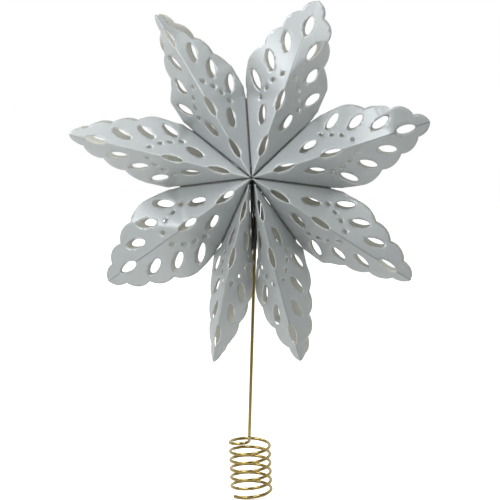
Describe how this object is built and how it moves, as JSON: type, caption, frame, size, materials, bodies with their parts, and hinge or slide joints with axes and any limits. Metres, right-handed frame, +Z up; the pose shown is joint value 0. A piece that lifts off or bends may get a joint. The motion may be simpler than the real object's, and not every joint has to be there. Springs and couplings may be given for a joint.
{
  "type": "paper snowflake star",
  "caption": "Folded paper snowflake star for a tree top: two-sided cut-out points open fan-wise round the hub, on a wire stem whose coil slips over the top shoot.",
  "frame": {"origin": "on the coil's axis, level with the coil's lowest end", "axes": "+Z up the stem to the star, the star faces -Y, +X to the right seen from the front"},
  "size_m": [0.25, 0.072, 0.3425],
  "materials": {
    "silver_paper": "silver pearl coating outside, uncoated warm grey inside",
    "silver_card": "silver coated card",
    "plain_paper": "uncoated",
    "brass_wire": "bright drawn wire",
    "plated_magnet": "nickel plated"
  },
  "bodies": {
    "stem": {"wire_stem_and_coil": "brass_wire", "first_cover": "silver_card", "stem_strap": "plain_paper", "first_cover_magnet_front": "plated_magnet", "first_cover_magnet_back": "plated_magnet"},
    "seam_1": {"seam_1": "silver_paper"},
    "seam_2": {"seam_2": "silver_paper"},
    "seam_3": {"seam_3": "silver_paper"},
    "seam_4": {"seam_4": "silver_paper"},
    "seam_5": {"seam_5": "silver_paper"},
    "seam_6": {"seam_6": "silver_paper"},
    "seam_7": {"seam_7": "silver_paper"},
    "last_cover": {"last_cover": "silver_card", "last_cover_magnet_front": "plated_magnet", "last_cover_magnet_back": "plated_magnet"},
    "point_1_front_a": {"point_1_front_a": "silver_paper"},
    "point_1_front_b": {"point_1_front_b": "silver_paper"},
    "point_1_back_a": {"point_1_back_a": "silver_paper"},
    "point_1_back_b": {"point_1_back_b": "silver_paper"},
    "point_2_front_a": {"point_2_front_a": "silver_paper"},
    "point_2_front_b": {"point_2_front_b": "silver_paper"},
    "point_2_back_a": {"point_2_back_a": "silver_paper"},
    "point_2_back_b": {"point_2_back_b": "silver_paper"},
    "point_3_front_a": {"point_3_front_a": "silver_paper"},
    "point_3_front_b": {"point_3_front_b": "silver_paper"},
    "point_3_back_a": {"point_3_back_a": "silver_paper"},
    "point_3_back_b": {"point_3_back_b": "silver_paper"},
    "point_4_front_a": {"point_4_front_a": "silver_paper"},
    "point_4_front_b": {"point_4_front_b": "silver_paper"},
    "point_4_back_a": {"point_4_back_a": "silver_paper"},
    "point_4_back_b": {"point_4_back_b": "silver_paper"},
    "point_5_front_a": {"point_5_front_a": "silver_paper"},
    "point_5_front_b": {"point_5_front_b": "silver_paper"},
    "point_5_back_a": {"point_5_back_a": "silver_paper"},
    "point_5_back_b": {"point_5_back_b": "silver_paper"},
    "point_6_front_a": {"point_6_front_a": "silver_paper"},
    "point_6_front_b": {"point_6_front_b": "silver_paper"},
    "point_6_back_a": {"point_6_back_a": "silver_paper"},
    "point_6_back_b": {"point_6_back_b": "silver_paper"},
    "point_7_front_a": {"point_7_front_a": "silver_paper"},
    "point_7_front_b": {"point_7_front_b": "silver_paper"},
    "point_7_back_a": {"point_7_back_a": "silver_paper"},
    "point_7_back_b": {"point_7_back_b": "silver_paper"},
    "point_8_front_a": {"point_8_front_a": "silver_paper"},
    "point_8_front_b": {"point_8_front_b": "silver_paper"},
    "point_8_back_a": {"point_8_back_a": "silver_paper"},
    "point_8_back_b": {"point_8_back_b": "silver_paper"}
  },
  "joints": [
    {"name": "seam_1_fold", "type": "hinge", "parent": "stem", "child": "seam_1", "pos_m": [-0.00285, 0, 0.21377], "axis": [0, -1, 0], "range_deg": [0, 17.83]},
    {"name": "seam_2_fold", "type": "hinge", "parent": "seam_1", "child": "seam_2", "pos_m": [-0.00325, 0, 0.21814], "axis": [0, -1, 0], "range_deg": [0, 21.46]},
    {"name": "seam_3_fold", "type": "hinge", "parent": "seam_2", "child": "seam_3", "pos_m": [-0.00364, 0, 0.2203], "axis": [0, -1, 0], "range_deg": [0, 23.29]},
    {"name": "seam_4_fold", "type": "hinge", "parent": "seam_3", "child": "seam_4", "pos_m": [-0.00242, 0, 0.22213], "axis": [0, -1, 0], "range_deg": [0, 32.9]},
    {"name": "seam_5_fold", "type": "hinge", "parent": "seam_4", "child": "seam_5", "pos_m": [-0.00024, 0, 0.22245], "axis": [0, -1, 0], "range_deg": [0, 18.69]},
    {"name": "seam_6_fold", "type": "hinge", "parent": "seam_5", "child": "seam_6", "pos_m": [0.00132, 0, 0.2209], "axis": [0, -1, 0], "range_deg": [0, 25.16]},
    {"name": "seam_7_fold", "type": "hinge", "parent": "seam_6", "child": "seam_7", "pos_m": [0.00099, 0, 0.21872], "axis": [0, -1, 0], "range_deg": [0, 26.29]},
    {"name": "last_cover_fold", "type": "hinge", "parent": "seam_7", "child": "last_cover", "pos_m": [0.00123, 0, 0.21434], "axis": [0, -1, 0], "range_deg": [0, 17.22]},
    {"name": "point_1_front_a_fold", "type": "hinge", "parent": "stem", "child": "point_1_front_a", "pos_m": [-0.00255, -0.036, 0.21377], "axis": [0, -0.5845, 0.8114], "range_deg": [0, 15.88]},
    {"name": "point_1_front_b_fold", "type": "hinge", "parent": "seam_1", "child": "point_1_front_b", "pos_m": [-0.00312, -0.036, 0.21389], "axis": [-0.3416, 0.5845, -0.736], "range_deg": [0, 15.88]},
    {"name": "point_1_back_a_fold", "type": "hinge", "parent": "stem", "child": "point_1_back_a", "pos_m": [-0.00255, 0.036, 0.21377], "axis": [0, -0.5845, -0.8114], "range_deg": [0, 15.88]},
    {"name": "point_1_back_b_fold", "type": "hinge", "parent": "seam_1", "child": "point_1_back_b", "pos_m": [-0.00312, 0.036, 0.21389], "axis": [0.3416, 0.5845, 0.736], "range_deg": [0, 15.88]},
    {"name": "point_2_front_a_fold", "type": "hinge", "parent": "seam_1", "child": "point_2_front_a", "pos_m": [-0.00297, -0.036, 0.21801], "axis": [0.3499, -0.5563, 0.7537], "range_deg": [0, 23.94]},
    {"name": "point_2_front_b_fold", "type": "hinge", "parent": "seam_2", "child": "point_2_front_b", "pos_m": [-0.0033, -0.036, 0.21843], "axis": [-0.8173, 0.5563, -0.15], "range_deg": [0, 23.94]},
    {"name": "point_2_back_a_fold", "type": "hinge", "parent": "seam_1", "child": "point_2_back_a", "pos_m": [-0.00297, 0.036, 0.21801], "axis": [-0.3499, -0.5563, -0.7537], "range_deg": [0, 23.94]},
    {"name": "point_2_back_b_fold", "type": "hinge", "parent": "seam_2", "child": "point_2_back_b", "pos_m": [-0.0033, 0.036, 0.21843], "axis": [0.8173, 0.5563, 0.15], "range_deg": [0, 23.94]},
    {"name": "point_3_front_a_fold", "type": "hinge", "parent": "seam_2", "child": "point_3_front_a", "pos_m": [-0.00359, -0.036, 0.22001], "axis": [0.8173, -0.5563, 0.15], "range_deg": [0, 23.77]},
    {"name": "point_3_front_b_fold", "type": "hinge", "parent": "seam_3", "child": "point_3_front_b", "pos_m": [-0.00348, -0.036, 0.22055], "axis": [-0.6913, 0.5563, 0.4611], "range_deg": [0, 23.77]},
    {"name": "point_3_back_a_fold", "type": "hinge", "parent": "seam_2", "child": "point_3_back_a", "pos_m": [-0.00359, 0.036, 0.22001], "axis": [-0.8173, -0.5563, -0.15], "range_deg": [0, 23.77]},
    {"name": "point_3_back_b_fold", "type": "hinge", "parent": "seam_3", "child": "point_3_back_b", "pos_m": [-0.00348, 0.036, 0.22055], "axis": [0.6913, 0.5563, -0.4611], "range_deg": [0, 23.77]},
    {"name": "point_4_front_a_fold", "type": "hinge", "parent": "seam_3", "child": "point_4_front_a", "pos_m": [-0.00259, -0.036, 0.22188], "axis": [0.6913, -0.5563, -0.4611], "range_deg": [0, 34.03]},
    {"name": "point_4_front_b_fold", "type": "hinge", "parent": "seam_4", "child": "point_4_front_b", "pos_m": [-0.00213, -0.036, 0.22218], "axis": [-0.1185, 0.5563, 0.8225], "range_deg": [0, 34.03]},
    {"name": "point_4_back_a_fold", "type": "hinge", "parent": "seam_3", "child": "point_4_back_a", "pos_m": [-0.00259, 0.036, 0.22188], "axis": [-0.6913, -0.5563, 0.4611], "range_deg": [0, 34.03]},
    {"name": "point_4_back_b_fold", "type": "hinge", "parent": "seam_4", "child": "point_4_back_b", "pos_m": [-0.00213, 0.036, 0.22218], "axis": [0.1185, 0.5563, -0.8225], "range_deg": [0, 34.03]},
    {"name": "point_5_front_a_fold", "type": "hinge", "parent": "seam_4", "child": "point_5_front_a", "pos_m": [-0.00054, -0.036, 0.2224], "axis": [0.1185, -0.5563, -0.8225], "range_deg": [0, 20.66]},
    {"name": "point_5_front_b_fold", "type": "hinge", "parent": "seam_5", "child": "point_5_front_b", "pos_m": [-0.00003, -0.036, 0.22223], "axis": [0.5855, 0.5563, 0.5896], "range_deg": [0, 20.66]},
    {"name": "point_5_back_a_fold", "type": "hinge", "parent": "seam_4", "child": "point_5_back_a", "pos_m": [-0.00054, 0.036, 0.2224], "axis": [-0.1185, -0.5563, 0.8225], "range_deg": [0, 20.66]},
    {"name": "point_5_back_b_fold", "type": "hinge", "parent": "seam_5", "child": "point_5_back_b", "pos_m": [-0.00003, 0.036, 0.22223], "axis": [-0.5855, 0.5563, -0.5896], "range_deg": [0, 20.66]},
    {"name": "point_6_front_a_fold", "type": "hinge", "parent": "seam_5", "child": "point_6_front_a", "pos_m": [0.0011, -0.036, 0.22111], "axis": [-0.5855, -0.5563, -0.5896], "range_deg": [0, 27.55]},
    {"name": "point_6_front_b_fold", "type": "hinge", "parent": "seam_6", "child": "point_6_front_b", "pos_m": [0.00127, -0.036, 0.2206], "axis": [0.8216, 0.5563, -0.1243], "range_deg": [0, 27.55]},
    {"name": "point_6_back_a_fold", "type": "hinge", "parent": "seam_5", "child": "point_6_back_a", "pos_m": [0.0011, 0.036, 0.22111], "axis": [0.5855, -0.5563, 0.5896], "range_deg": [0, 27.55]},
    {"name": "point_6_back_b_fold", "type": "hinge", "parent": "seam_6", "child": "point_6_back_b", "pos_m": [0.00127, 0.036, 0.2206], "axis": [-0.8216, 0.5563, 0.1243], "range_deg": [0, 27.55]},
    {"name": "point_7_front_a_fold", "type": "hinge", "parent": "seam_6", "child": "point_7_front_a", "pos_m": [0.00103, -0.036, 0.21902], "axis": [-0.8216, -0.5563, 0.1243], "range_deg": [0, 27.44]},
    {"name": "point_7_front_b_fold", "type": "hinge", "parent": "seam_7", "child": "point_7_front_b", "pos_m": [0.00074, -0.036, 0.21856], "axis": [0.4562, 0.5563, -0.6945], "range_deg": [0, 27.44]},
    {"name": "point_7_back_a_fold", "type": "hinge", "parent": "seam_6", "child": "point_7_back_a", "pos_m": [0.00103, 0.036, 0.21902], "axis": [0.8216, -0.5563, -0.1243], "range_deg": [0, 27.44]},
    {"name": "point_7_back_b_fold", "type": "hinge", "parent": "seam_7", "child": "point_7_back_b", "pos_m": [0.00074, 0.036, 0.21856], "axis": [-0.4562, 0.5563, 0.6945], "range_deg": [0, 27.44]},
    {"name": "point_8_front_a_fold", "type": "hinge", "parent": "seam_7", "child": "point_8_front_a", "pos_m": [0.00149, -0.036, 0.2145], "axis": [-0.4455, -0.5845, 0.6782], "range_deg": [0, 15.47]},
    {"name": "point_8_front_b_fold", "type": "hinge", "parent": "last_cover", "child": "point_8_front_b", "pos_m": [0.00094, -0.036, 0.21431], "axis": [0.0707, 0.5845, -0.8083], "range_deg": [0, 15.47]},
    {"name": "point_8_back_a_fold", "type": "hinge", "parent": "seam_7", "child": "point_8_back_a", "pos_m": [0.00149, 0.036, 0.2145], "axis": [0.4455, -0.5845, -0.6782], "range_deg": [0, 15.47]},
    {"name": "point_8_back_b_fold", "type": "hinge", "parent": "last_cover", "child": "point_8_back_b", "pos_m": [0.00094, 0.036, 0.21431], "axis": [-0.0707, 0.5845, 0.8083], "range_deg": [0, 15.47]}
  ],
  "couplings": [
    {"joint": "seam_1_fold", "follows": "seam_2_fold", "ratio": 0.83075},
    {"joint": "seam_3_fold", "follows": "seam_2_fold", "ratio": 1.0848},
    {"joint": "seam_4_fold", "follows": "seam_2_fold", "ratio": 1.5326},
    {"joint": "seam_5_fold", "follows": "seam_2_fold", "ratio": 0.87058},
    {"joint": "seam_6_fold", "follows": "seam_2_fold", "ratio": 1.1721},
    {"joint": "seam_7_fold", "follows": "seam_2_fold", "ratio": 1.2246},
    {"joint": "last_cover_fold", "follows": "seam_2_fold", "ratio": 0.80242},
    {"joint": "point_1_front_a_fold", "follows": "seam_2_fold", "ratio": 0.73958},
    {"joint": "point_1_front_b_fold", "follows": "seam_2_fold", "ratio": 0.73958},
    {"joint": "point_1_back_a_fold", "follows": "seam_2_fold", "ratio": 0.73958},
    {"joint": "point_1_back_b_fold", "follows": "seam_2_fold", "ratio": 0.73958},
    {"joint": "point_2_front_a_fold", "follows": "seam_2_fold", "ratio": 1.1151},
    {"joint": "point_2_front_b_fold", "follows": "seam_2_fold", "ratio": 1.1151},
    {"joint": "point_2_back_a_fold", "follows": "seam_2_fold", "ratio": 1.1151},
    {"joint": "point_2_back_b_fold", "follows": "seam_2_fold", "ratio": 1.1151},
    {"joint": "point_3_front_a_fold", "follows": "seam_2_fold", "ratio": 1.1074},
    {"joint": "point_3_front_b_fold", "follows": "seam_2_fold", "ratio": 1.1074},
    {"joint": "point_3_back_a_fold", "follows": "seam_2_fold", "ratio": 1.1074},
    {"joint": "point_3_back_b_fold", "follows": "seam_2_fold", "ratio": 1.1074},
    {"joint": "point_4_front_a_fold", "follows": "seam_2_fold", "ratio": 1.5855},
    {"joint": "point_4_front_b_fold", "follows": "seam_2_fold", "ratio": 1.5855},
    {"joint": "point_4_back_a_fold", "follows": "seam_2_fold", "ratio": 1.5855},
    {"joint": "point_4_back_b_fold", "follows": "seam_2_fold", "ratio": 1.5855},
    {"joint": "point_5_front_a_fold", "follows": "seam_2_fold", "ratio": 0.96264},
    {"joint": "point_5_front_b_fold", "follows": "seam_2_fold", "ratio": 0.96264},
    {"joint": "point_5_back_a_fold", "follows": "seam_2_fold", "ratio": 0.96264},
    {"joint": "point_5_back_b_fold", "follows": "seam_2_fold", "ratio": 0.96264},
    {"joint": "point_6_front_a_fold", "follows": "seam_2_fold", "ratio": 1.2834},
    {"joint": "point_6_front_b_fold", "follows": "seam_2_fold", "ratio": 1.2834},
    {"joint": "point_6_back_a_fold", "follows": "seam_2_fold", "ratio": 1.2834},
    {"joint": "point_6_back_b_fold", "follows": "seam_2_fold", "ratio": 1.2834},
    {"joint": "point_7_front_a_fold", "follows": "seam_2_fold", "ratio": 1.2784},
    {"joint": "point_7_front_b_fold", "follows": "seam_2_fold", "ratio": 1.2784},
    {"joint": "point_7_back_a_fold", "follows": "seam_2_fold", "ratio": 1.2784},
    {"joint": "point_7_back_b_fold", "follows": "seam_2_fold", "ratio": 1.2784},
    {"joint": "point_8_front_a_fold", "follows": "seam_2_fold", "ratio": 0.72075},
    {"joint": "point_8_front_b_fold", "follows": "seam_2_fold", "ratio": 0.72075},
    {"joint": "point_8_back_a_fold", "follows": "seam_2_fold", "ratio": 0.72075},
    {"joint": "point_8_back_b_fold", "follows": "seam_2_fold", "ratio": 0.72075}
  ]
}
